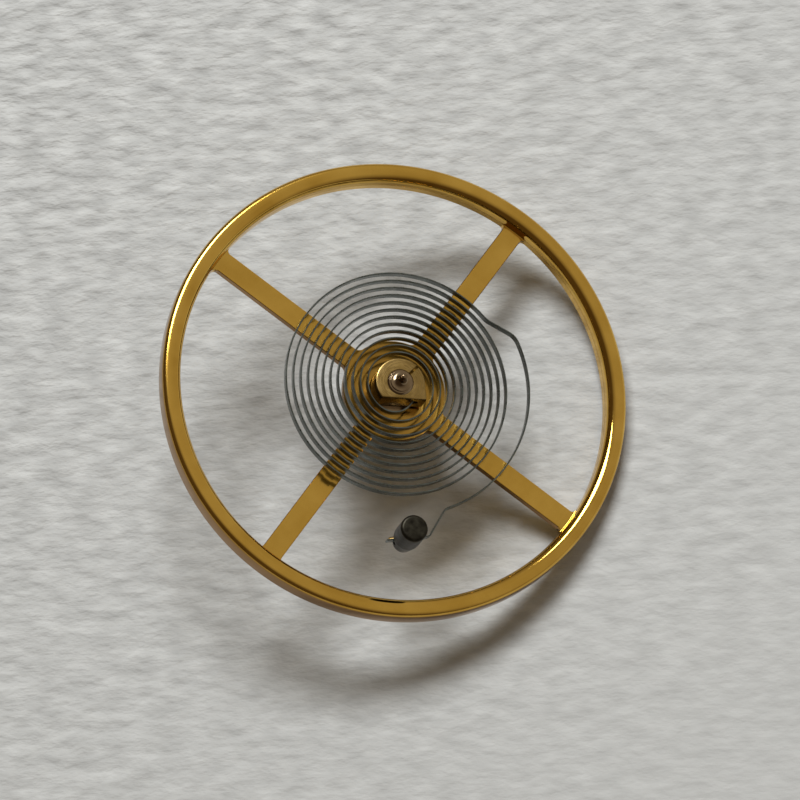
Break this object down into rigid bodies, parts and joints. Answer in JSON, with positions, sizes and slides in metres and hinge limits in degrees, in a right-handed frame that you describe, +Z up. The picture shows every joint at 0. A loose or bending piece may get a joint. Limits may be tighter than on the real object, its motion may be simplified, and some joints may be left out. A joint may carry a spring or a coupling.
{
  "type": "balance wheel",
  "caption": "Watch balance with hairspring: smooth gilt wheel with crossed arms on a pivoted staff, rollers below, flat spiral spring above, and a stud at its outer end.",
  "frame": {"origin": "tip of the lower pivot, on the staff's axis", "axes": "+Z up the staff, with the hairspring above the wheel; one pair of arms lies along X and the other along Y"},
  "size_m": [0.01, 0.01, 0.0033],
  "materials": {
    "gilt": "polished gilding",
    "polished_steel": "turned and burnished",
    "ruby": "polished synthetic ruby",
    "shellac": "glossy amber shellac",
    "brass": "turned brass",
    "spring_steel": "rolled, grey",
    "dark_steel": "dark, satin"
  },
  "bodies": {
    "stud_side": {"stud": "dark_steel", "stud_pin": "brass", "hairspring": "spring_steel"},
    "balance": {"balance_wheel": "gilt", "balance_staff": "polished_steel", "impulse_roller": "polished_steel", "safety_roller": "polished_steel", "impulse_jewel": "ruby", "shellac": "shellac", "hairspring_collet": "brass", "collet_pin": "brass"}
  },
  "joints": [
    {"name": "balance_swing", "type": "hinge", "parent": "stud_side", "child": "balance", "pos_m": [0, 0, 0], "axis": [0, 0, 1], "range_deg": [-300, 300], "stiffness_Nm_per_rad": 0.00000082, "deforming": ["hairspring"]}
  ]
}
